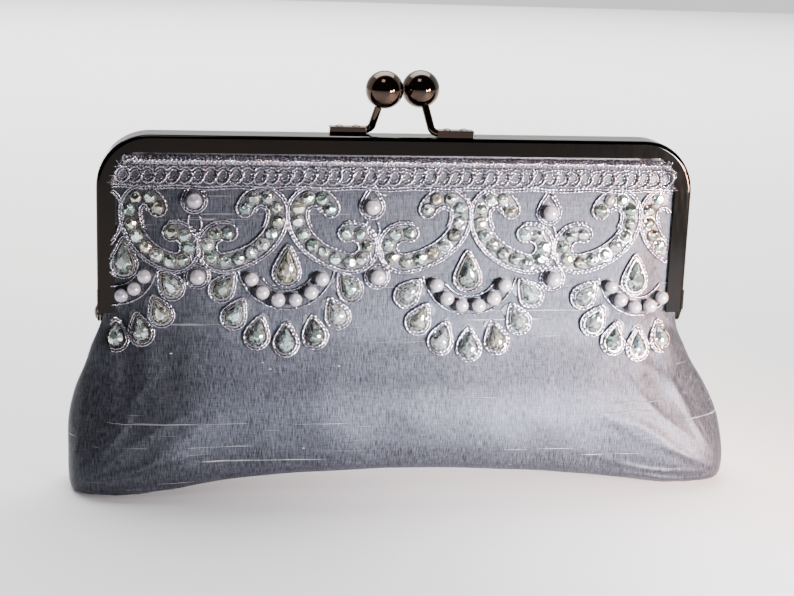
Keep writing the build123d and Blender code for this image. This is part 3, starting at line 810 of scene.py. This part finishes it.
def prong_cup(batch, outline, matrix, height):
    """Claw setting: a low wall round a stone with small claws bent over its girdle."""
    middle = outline.mean(0)
    count = len(outline)
    rings = [(1.02, 0.0), (1.10, 0.05), (1.12, height), (1.03, height), (1.02, 0.1)]
    points = [np.column_stack([middle + k * (outline - middle), np.full(count, z)]) for k, z in rings]
    batch.add(place(np.vstack(points), matrix), ring_faces(len(rings), count))
    for k in range(0, count, max(1, count // 4)):
        tip = middle + 1.02 * (outline[k] - middle)
        inward = (middle - outline[k]) / np.linalg.norm(middle - outline[k])
        across = np.array([-inward[1], inward[0]]) * CLAW_HALF_WIDTH
        claw = [(*(tip + i * inward + a * across), top * height + up) for i, a, top, up in CLAW_POINTS]
        batch.add(place(claw, matrix), CLAW_FACES)


def pearl_shape(radius):
    """Pearl with its two thread holes drawn in at the sides."""
    rows, columns = 14, 20
    latitude = np.linspace(0.06, pi - 0.06, rows)
    longitude = np.linspace(0, tau, columns, endpoint=False)
    dimple = 1 - 0.10 * np.exp(-((np.minimum(latitude, pi - latitude) / 0.16) ** 2))
    ring = radius * np.sin(latitude)
    x = radius * np.cos(latitude) * dimple
    points = np.stack([
        np.repeat(x, columns),
        np.outer(ring, np.cos(longitude)).ravel(),
        np.outer(ring, np.sin(longitude)).ravel() + radius,
    ], 1)
    faces = ring_faces(rows, columns)
    faces += [tuple(range(columns))[::-1], tuple((rows - 1) * columns + k for k in range(columns))]
    return points, faces


def fan(arc, count):
    """Places on an arc below each repeat's centre: across, height and lean in degrees."""
    height, radius, step = arc
    for centre, (across, up, spread) in zip(REPEATS, FAN_SHIFTS):
        for k in range(count):
            lean = (k - (count - 1) / 2) * step
            x = centre + across + spread * radius * sin(radians(lean))
            yield x, height + up - radius * cos(radians(lean)), lean


def finish_trim(batch, name, material, nodes, shade_smooth=True):
    """Makes one piece of the trim, with its transform baked in, and hides the CAD parts that it stands for.
    """
    piece = batch.build(name, material, shade_smooth)
    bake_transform(piece)
    if nodes:
        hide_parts(*nodes)


def half_turn(tip, beside):
    """Half circle about tip, clockwise from the point beside it."""
    angle = -np.linspace(0, pi, 9)[1:-1]
    arm = beside - tip
    across = arm[0] * np.cos(angle) - arm[1] * np.sin(angle)
    up = arm[0] * np.sin(angle) + arm[1] * np.cos(angle)
    return tip + np.stack([across, up], 1)


def build_scrolls():
    """Rows of round stones between cords, in mirrored pairs of scrolls."""
    stones, cups, cords = Batch(), Batch(), Batch()
    outline = circle_outline(STONE_RADIUS, 10)
    for centre in REPEATS:
        for side in (-1, 1):
            line = placed_scroll(centre, side)
            for x, z in spaced(line, STONE_PITCH):
                if not inside(x, STONE_RADIUS * 0.8):
                    continue
                size = RNG.uniform(0.92, 1.05)
                matrix = facing(x + RNG.normal(0, 0.12), z + RNG.normal(0, 0.12), 0.55, RNG.uniform(0, 36))
                tilt = Matrix.Rotation(RNG.normal(0, 0.09), 4, "X")
                tilt = tilt @ Matrix.Rotation(RNG.normal(0, 0.09), 4, "Y")
                matrix = matrix @ np.array(tilt)
                points, faces = domed(STONE_RADIUS * size, STONE_HEIGHT)
                stones.add(place(points, matrix), faces)
                prong_cup(cups, outline * size, matrix, 0.3)
            dense = spaced(line, 1.0)
            left, right = offset_line(dense, SCROLL_CORD_REACH), offset_line(dense, -SCROLL_CORD_REACH)
            ends = half_turn(dense[-1], left[-1]), half_turn(dense[0], right[0])
            lay(cords, np.vstack([left, ends[0], right[::-1], ends[1]]), 0.46)
            lay(cords, offset_line(dense, -side * SCROLL_RIM_REACH)[8:], 0.45, closed=False)
            lay(cords, offset_line(dense, side * SCROLL_INNER_REACH)[:24], 0.42, closed=False)
    finish_trim(stones, "scroll_stones", DOME_CRYSTAL, ["trim_scroll_stones"])
    finish_trim(cups, "scroll_settings", SETTING, [], False)
    finish_trim(cords, "scroll_cords", SILVER, ["trim_scroll_cords"])


def teardrop_places():
    """Where the upright crystals sit, one in each repeat: across, height and lean."""
    return [(x + across, TEARDROP_Z + up, 0.0) for x, (across, up) in zip(REPEATS, TEARDROP_SHIFTS)]


def build_drops():
    """Pear-shaped crystals: one upright in each repeat and a fan of them below."""
    for name, size, places, stem in (
        ("teardrop", TEARDROP_SIZE, teardrop_places(), "trim_teardrop"),
        ("drop", DROP_SIZE, [(x, z, lean * 0.5) for x, z, lean in fan(FAN_DROP_ARC, FAN_DROPS)], "trim_drop"),
    ):
        stones, cups, cords = Batch(), Batch(), Batch()
        for x, z, lean in places:
            if not inside(x, DROP_REACH):
                continue
            lean += RNG.normal(0, 3)
            matrix = facing(x, z, 0.7, lean)
            outline = drop_outline(*size)
            points, faces = faceted(outline, CRYSTAL_HEIGHT, 0.5)
            stones.add(place(points, matrix), faces)
            prong_cup(cups, outline, matrix, 0.7)
            turn = radians(lean)
            for grow, radius in ((0.62, 0.4), (1.4, 0.44)):
                ring = drop_outline(size[0] + 2 * grow, size[1] + 2.3 * grow, 40)
                across = ring[:, 0] * cos(turn) - ring[:, 1] * sin(turn)
                up = ring[:, 0] * sin(turn) + ring[:, 1] * cos(turn)
                lay(cords, np.stack([x + across, z + up], 1), radius, lift=0.1)
        finish_trim(stones, f"{name}_crystals", CRYSTAL, [f"{stem}s"], False)
        finish_trim(cups, f"{name}_settings", SETTING, [f"{stem}_cups"], False)
        finish_trim(cords, f"{name}_cords", SILVER, [f"{stem}_cords"])


def build_pearls():
    """Arcs of pearls above the drops, and single pearls in loops of cord between the repeats."""
    fans, cords = Batch(), Batch()
    points, faces = pearl_shape(PEARL_RADIUS)
    for x, z, lean in fan(FAN_PEARL_ARC, FAN_PEARLS):
        if inside(x, PEARL_RADIUS):
            fans.add(place(points * RNG.uniform(0.95, 1.04), facing(x, z, 0.25, lean)), faces)
    finish_trim(fans, "fan_pearls", PEARL, ["trim_fan_pearls"])
    singles = Batch()
    points, faces = pearl_shape(LONE_PEARL_RADIUS)
    for (x, z), (low_x, low_z) in zip(UPPER_PEARLS, LOWER_PEARLS):
        singles.add(place(points, facing(x, z, 0.3, 12)), faces)
        singles.add(place(points, facing(low_x, low_z, 0.3, -8)), faces)
        for grow in (0.9, 1.7):
            reach = LONE_PEARL_RADIUS + grow
            lay(cords, circle_outline(reach, 40) + (low_x, low_z), 0.4)
            lay(cords, drop_outline(2 * reach, 2 * reach + 1.6 + grow, 48) + (x, z), 0.4)
        for way in (-1, 1):
            start = np.array([x + way * 1.6, z - 4.6])
            finish = np.array([low_x - way * 1.6, low_z + 4.6])
            t = np.linspace(0, 1, 24)[:, None]
            sway = np.hstack([way * 1.3 * np.sin(tau * t), np.zeros_like(t)])
            lay(cords, start + (finish - start) * t + sway, 0.4, closed=False)
    finish_trim(singles, "single_pearls", PEARL, ["trim_lone_pearls"])
    for centre, (across, up, spread) in zip(REPEATS, FAN_SHIFTS):
        for radius, span in ARC_CORDS:
            angle = np.radians(np.arange(-90 - span, -90 + span + 1, 3))
            x = centre + across + spread * radius * np.cos(angle)
            z = FAN_PEARL_ARC[0] + up + radius * np.sin(angle)
            lay(cords, np.stack([x, z], 1), 0.36, closed=False)
    finish_trim(cords, "pearl_cords", SILVER, ["trim_lone_pearl_cords"])


def heading_edge(z, steps=420):
    """Points across the strip at this height, kept under the frame's rounded corners."""
    reach = outline_half_width(np.array([z]), RAIL_HEIGHT - 1.2)[0]
    return np.linspace(max(TRIM_LEFT + 0.5, -reach), min(TRIM_RIGHT - 0.5, reach), steps)


def build_heading():
    """Braided band, chain of oval rings and edge cords along the top of the strip."""
    braid, rings = Batch(), Batch()
    for strand in range(3):
        x = heading_edge(BRAID_Z, 900)
        phase = x / BRAID_PITCH * tau + strand * tau / 3
        z = BRAID_Z + 1.25 * np.sin(phase)
        path = on_front(x, z, 0.95 + 0.5 * np.cos(2 * phase))
        cord(braid, path, 0.66, 1.5)
    x = heading_edge(BRAID_CORD_Z)
    cord(braid, on_front(x, BRAID_CORD_Z + 0.12 * np.sin(x * 0.9), 0.4), 0.4, 1.3)
    x = heading_edge(HEADING_LOW_Z)
    for drop, radius in ((0.0, 0.46), (-0.9, 0.4)):
        cord(braid, on_front(x, HEADING_LOW_Z + drop + 0.25 * np.sin(x * 0.31), radius), radius, 1.3)
    finish_trim(braid, "heading_braid", SILVER, ["trim_braid"])
    x_all = heading_edge(RING_Z)
    count = int((x_all[-1] - x_all[0] - 4.5) / RING_PITCH)
    first = (x_all[0] + x_all[-1] - count * RING_PITCH) / 2
    angle = np.linspace(0, tau, 36, endpoint=False)
    for k in range(count + 1):
        middle = first + k * RING_PITCH + RNG.normal(0, 0.12)
        lean = RNG.normal(0.12, 0.07)
        across, up = 2.35 * np.cos(angle), (2.75 + RNG.normal(0, 0.08)) * np.sin(angle)
        x, z = middle + across + lean * up, RING_Z + up
        link = on_front(x, z, 0.62 + 0.3 * np.cos(angle))
        cord(rings, link, 0.56, 1.4, closed=True)
        inner = on_front(middle + 0.55 * across + lean * up * 0.6, RING_Z + 0.6 * up, 0.42)
        cord(rings, inner, 0.3, 1.2, closed=True)
    finish_trim(rings, "heading_rings", SILVER, ["trim_rings"])


def build_embroidery():
    """Close-worked thread ground under the stones, pearls and headings."""
    spots = []      # middles and radii of the round patches that make up the ground
    for centre in REPEATS:
        for side in (-1, 1):
            spots += [(x, z, 2.8) for x, z in spaced(placed_scroll(centre, side), 1.5)]
    spots += [(x, z + h, 4.2 - 0.35 * h) for x, z, _ in teardrop_places() for h in (0, 2, 4, 6)]
    spots += [(x, z, 3.0) for x, z, _ in fan(FAN_PEARL_ARC, FAN_PEARLS)]
    spots += [(x, z, 3.6) for x, z, _ in fan(FAN_DROP_ARC, FAN_DROPS)]
    spots += [(x, z, 2.6) for x, z, _ in fan(FAN_GROUND_ARC, FAN_DROPS)]
    spots += [(x, z, 3.6) for x, z in UPPER_PEARLS + LOWER_PEARLS]
    spots = np.array([s for s in spots if inside(s[0], s[2] * 0.9)])
    across, up = np.arange(TRIM_LEFT, TRIM_RIGHT, GROUND_STEP), np.arange(*GROUND_Z, GROUND_STEP)
    gx, gz = np.meshgrid(across, up, indexing="ij")
    covered = (gz > HEADING_LOW_Z - 0.4) & (np.abs(gx) < outline_half_width(gz, RAIL_HEIGHT - 1.6))
    for x, z, reach in spots:
        covered |= (gx - x) ** 2 + (gz - z) ** 2 < reach**2
    index = -np.ones(gx.shape, int)
    index[covered] = np.arange(covered.sum())
    stitch = 0.1 * np.sin(gx * 4.1 + gz * 4.6) + 0.05 * np.sin(gx * 7.7 - gz * 3.1)
    points = on_front(gx[covered], gz[covered], 0.34 + stitch[covered])
    quads = np.stack([index[:-1, :-1], index[1:, :-1], index[1:, 1:], index[:-1, 1:]], -1).reshape(-1, 4)
    quads = quads[(quads >= 0).all(1)]
    batch = Batch()
    batch.add(points, quads)
    finish_trim(batch, "embroidered_ground", NET, [])


def build_frayed_ends():
    """Loose thread ends where the strip was cut."""
    threads = Batch()
    for edge, out in ((TRIM_LEFT, -1), (TRIM_RIGHT, 1)):
        for z in np.linspace(*FRAYED_Z, 14):
            x0 = out * min(abs(edge), outline_half_width(np.array([z]), RAIL_HEIGHT - 1.4)[0])
            length, rise = RNG.uniform(1.0, 2.6), RNG.normal(0, 1.0)
            t = np.linspace(0, 1, 8)
            x = x0 + out * length * t - out * 1.2
            height = z + rise * t**2 + 0.3 * np.sin(5 * t + z)
            path = on_front(np.clip(x, -FRAYED_REACH, FRAYED_REACH), height, 0.25 + 0.25 * t)
            cord(threads, path, 0.13, 0.9, around=5)
    finish_trim(threads, "frayed_threads", SILVER, [])


# ---------------- frame, clasp and paper cord
def dress_frame():
    """The metal parts keep their CAD shape and get their finish."""
    for node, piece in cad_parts.items():
        if node.endswith("_frame"):
            material = FRAME_METAL
        elif "clasp" in node or "rivet" in node:
            material = CLASP_METAL
        else:
            continue
        piece.data.materials.clear()
        piece.data.materials.append(material)


def build_paper_cords():
    """Twisted paper cord lying in each channel."""
    for word in ("front", "rear"):
        low, high = (np.array(c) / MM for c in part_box(f"{word}_paper_cord"))
        radius = (high[1] - low[1]) / 2
        y = (low[1] + high[1]) / 2
        half, top = high[0] - radius, high[2] - radius
        turn = CORNER_RADIUS - (HALF_WIDTH - half)
        corner = np.linspace(0, pi / 2, 24)
        left = np.stack([-half + turn - turn * np.cos(corner), top - turn + turn * np.sin(corner)], 1)
        right = left[::-1] * (-1, 1)
        route = np.vstack([(-half, low[2]), left, right, (half, low[2])])
        path = np.stack([route[:, 0], np.full(len(route), y), route[:, 1]], 1)
        batch = Batch()
        cord(batch, path, radius * 0.82, 2.4, lobes=3, around=9)
        piece = batch.build(f"twisted_paper_{word}", PAPER)
        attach(piece, f"{word}_half")
        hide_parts(f"{word}_paper_cord")


# ---------------- stage, camera and light
CAMERA_AZIMUTH = 8.5  # degrees to the viewer's left
CAMERA_ELEVATION = 13.56  # degrees
CAMERA_ROLL = 1.985  # degrees
CAMERA_DISTANCE = 0.560145  # metres
CAMERA_TARGET = Vector((0.0005, 0.0, 0.06476))
CAMERA_LENS = 72.6  # mm, on a 36 mm sensor
# name, place and target in metres, size, watts, colour, spread in degrees
LIGHTS = (
    ("key", (0.31, -0.47, 0.07), (0.04, 0, 0.02), (0.10, 0.10), 0.84, (0.82, 0.89, 1.0), 28),
    ("warm", (0.46, -0.40, 0.10), (0.125, 0, 0.035), (0.10, 0.14), 1.0, (1.0, 0.56, 0.38), 34),
    ("top", (-0.15, -0.35, 0.8), (0, 0, 0.08), (0.22, 0.22), 0.75, (0.96, 0.97, 1.0), 160),
    ("sweep", (0.0, 1.7, 2.2), (0, 1.4, 0), (3.4, 2.4), 125, (1.0, 1.0, 1.0), 110),
)


def build_stage():
    """Pale floor under the bag."""
    bpy.ops.mesh.primitive_plane_add(size=6, location=(0, 0, 0))
    floor = bpy.context.object
    floor.name = "floor"
    material, nodes, links, shader = new_material("pale_floor")
    tone = stretched_noise(nodes, links, (3, 3, 3), 2.0)
    links.new(ramp(nodes, links, tone, [(0.3, 0.86), (0.7, 0.88)]), shader.inputs["Base Color"])
    shader.inputs["Roughness"].default_value = 0.9
    floor.data.materials.append(material)


def build_camera():
    """Camera fitted to the picture, slightly rolled."""
    azimuth, elevation, roll = (radians(a) for a in (CAMERA_AZIMUTH, CAMERA_ELEVATION, CAMERA_ROLL))
    back = Vector((-sin(azimuth) * cos(elevation), -cos(azimuth) * cos(elevation), sin(elevation)))
    right = (-back).cross(Vector((0, 0, 1))).normalized()
    up = right.cross(-back)
    right, up = right * cos(roll) + up * sin(roll), up * cos(roll) - right * sin(roll)
    data = bpy.data.cameras.new("camera")
    data.lens, data.sensor_width = CAMERA_LENS, 36
    data.clip_start = 0.01
    camera = bpy.data.objects.new("camera", data)
    matrix = Matrix((right, up, back)).transposed().to_4x4()
    matrix.translation = CAMERA_TARGET + CAMERA_DISTANCE * back
    camera.matrix_world = matrix
    bpy.context.scene.collection.objects.link(camera)
    bpy.context.scene.camera = camera


def area_light(name, where, target, size, power, colour, spread):
    """Rectangular light aimed at a target."""
    data = bpy.data.lights.new(name, "AREA")
    data.shape, data.size, data.size_y = "RECTANGLE", size[0], size[1]
    data.energy, data.color, data.spread = power, colour, radians(spread)
    light = bpy.data.objects.new(name, data)
    light.location = where
    light.rotation_euler = (Vector(target) - Vector(where)).to_track_quat("-Z", "Y").to_euler()
    bpy.context.scene.collection.objects.link(light)


def build_lights():
    """Room that is dark in front of the bag and white behind it, and the lamps."""
    world = bpy.data.worlds.new("studio")
    bpy.context.scene.world = world
    world.use_nodes = True
    nodes, links = world.node_tree.nodes, world.node_tree.links
    background = nodes["Background"]
    coordinates = nodes.new("ShaderNodeTexCoord")
    split = nodes.new("ShaderNodeSeparateXYZ")
    links.new(coordinates.outputs["Generated"], split.inputs["Vector"])
    room = ramp(nodes, links, split.outputs["Y"], [(0.0, (0.05, 0.042, 0.04)), (0.12, (1.0, 1.0, 1.0))])
    links.new(room, background.inputs["Color"])
    background.inputs["Strength"].default_value = 1.0
    for light in LIGHTS:
        area_light(*light)


dress_frame()
build_cloth()
build_paper_cords()
build_embroidery()
build_scrolls()
build_drops()
build_pearls()
build_heading()
build_frayed_ends()
build_stage()
build_camera()
build_lights()
